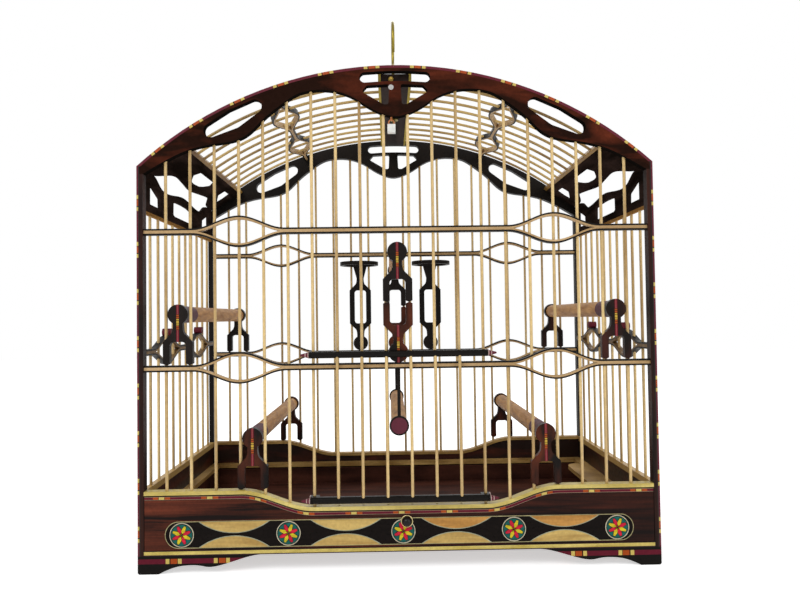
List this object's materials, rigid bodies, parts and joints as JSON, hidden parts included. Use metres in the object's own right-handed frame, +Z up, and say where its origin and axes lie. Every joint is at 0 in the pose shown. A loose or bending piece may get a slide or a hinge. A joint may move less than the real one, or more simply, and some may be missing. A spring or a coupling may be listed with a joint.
{
  "type": "bird cage",
  "caption": "Wooden songbird cage with arched fretwork roof, bamboo bars, sliding door, perches, swing and pull-out tray.",
  "frame": {"origin": "centre of the footprint, at the floor under the feet", "axes": "+Z up, -Y to the front with the door and the drawer, +X to the right seen from the front"},
  "size_m": [0.425, 0.234, 0.498],
  "materials": {
    "rosewood": "glossy lacquer over dark red-brown rosewood",
    "black_lacquer": "glossy black-stained wood",
    "black_fork": "glossy black-stained wood",
    "brown_fork": "glossy dark brown wood with an inlaid line",
    "marquetry": "fine marquetry banding in maroon, cream and orange",
    "fret_wood": "satin dark grey-brown wood",
    "light_rail": "pale wood between black edge lines",
    "yellow_wood": "pale yellow wood, satin",
    "tray_wood": "dark brown wood, satin",
    "bamboo": "split bamboo rods, polished",
    "perch_wood": "tan turned wood with maroon ferrules",
    "brass_wire": "bright brass wire"
  },
  "bodies": {
    "cage": {"front_arch": "rosewood", "posts_front": "rosewood", "base_side_left": "rosewood", "base_side_right": "rosewood", "rear_board": "rosewood", "rear_arch": "black_lacquer", "posts_rear": "black_lacquer", "front_feet": "black_lacquer", "rear_feet": "black_lacquer", "cup_holder_left": "black_lacquer", "cup_holder_right": "black_lacquer", "centre_forks": "black_fork", "swing_forks": "brown_fork", "arch_banding": "marquetry", "eave_panel_left": "fret_wood", "eave_panel_right": "fret_wood", "side_fret_left": "fret_wood", "side_fret_right": "fret_wood", "ridge_board": "fret_wood", "mid_rail_front": "light_rail", "mid_rail_rear": "light_rail", "upper_rail_front": "light_rail", "upper_rail_rear": "light_rail", "side_rail_left": "light_rail", "side_rail_right": "light_rail", "roof_rail_left": "light_rail", "roof_rail_right": "light_rail", "base_rail_front": "yellow_wood", "base_rail_rear": "yellow_wood", "roof_strip_left": "yellow_wood", "roof_strip_right": "yellow_wood", "ledge_frame": "yellow_wood", "bottom_frame": "yellow_wood", "front_bars_left": "bamboo", "front_bars_right": "bamboo", "front_bars_over_door": "bamboo", "rear_bars": "bamboo", "left_bars": "bamboo", "right_bars": "bamboo", "roof_bars_left": "bamboo", "roof_bars_right": "bamboo", "centre_perch": "perch_wood", "arch_fittings": "brass_wire"},
    "drawer": {"drawer_front": "rosewood", "drawer_tray": "tray_wood", "drawer_knob": "black_lacquer"},
    "door": {"door_rails": "black_lacquer", "door_bars": "bamboo"},
    "swing": {"swing_hangers": "black_lacquer", "swing_perch": "perch_wood"},
    "hanging_hook": {"hook": "brass_wire"},
    "high_left_perch": {"upper_forks_left": "brown_fork", "upper_perch_left": "perch_wood"},
    "high_right_perch": {"upper_forks_right": "brown_fork", "upper_perch_right": "perch_wood"},
    "low_left_perch": {"lower_forks_left": "brown_fork", "lower_perch_left": "perch_wood"},
    "low_right_perch": {"lower_forks_right": "brown_fork", "lower_perch_right": "perch_wood"}
  },
  "joints": [
    {"name": "drawer_slide", "type": "slide", "parent": "cage", "child": "drawer", "axis": [0, -1, 0], "range_m": [0, 0.2]},
    {"name": "door_slide", "type": "slide", "parent": "cage", "child": "door", "axis": [0, 0, 1], "range_m": [0, 0.09]},
    {"name": "swing_hinge", "type": "hinge", "parent": "cage", "child": "swing", "pos_m": [0, 0, 0.1758], "axis": [0, 1, 0], "range_deg": [-30, 30]},
    {"name": "hook_swivel", "type": "hinge", "parent": "cage", "child": "hanging_hook", "pos_m": [0, 0, 0.405], "axis": [0, 0, 1], "continuous": true},
    {"name": "high_left_slide", "type": "slide", "parent": "cage", "child": "high_left_perch", "axis": [0, 0, 1], "range_m": [0, 0.05]},
    {"name": "high_right_slide", "type": "slide", "parent": "cage", "child": "high_right_perch", "axis": [0, 0, 1], "range_m": [0, 0.05]},
    {"name": "low_left_slide", "type": "slide", "parent": "cage", "child": "low_left_perch", "axis": [0, 0, 1], "range_m": [0, 0.033]},
    {"name": "low_right_slide", "type": "slide", "parent": "cage", "child": "low_right_perch", "axis": [0, 0, 1], "range_m": [0, 0.033]}
  ]
}
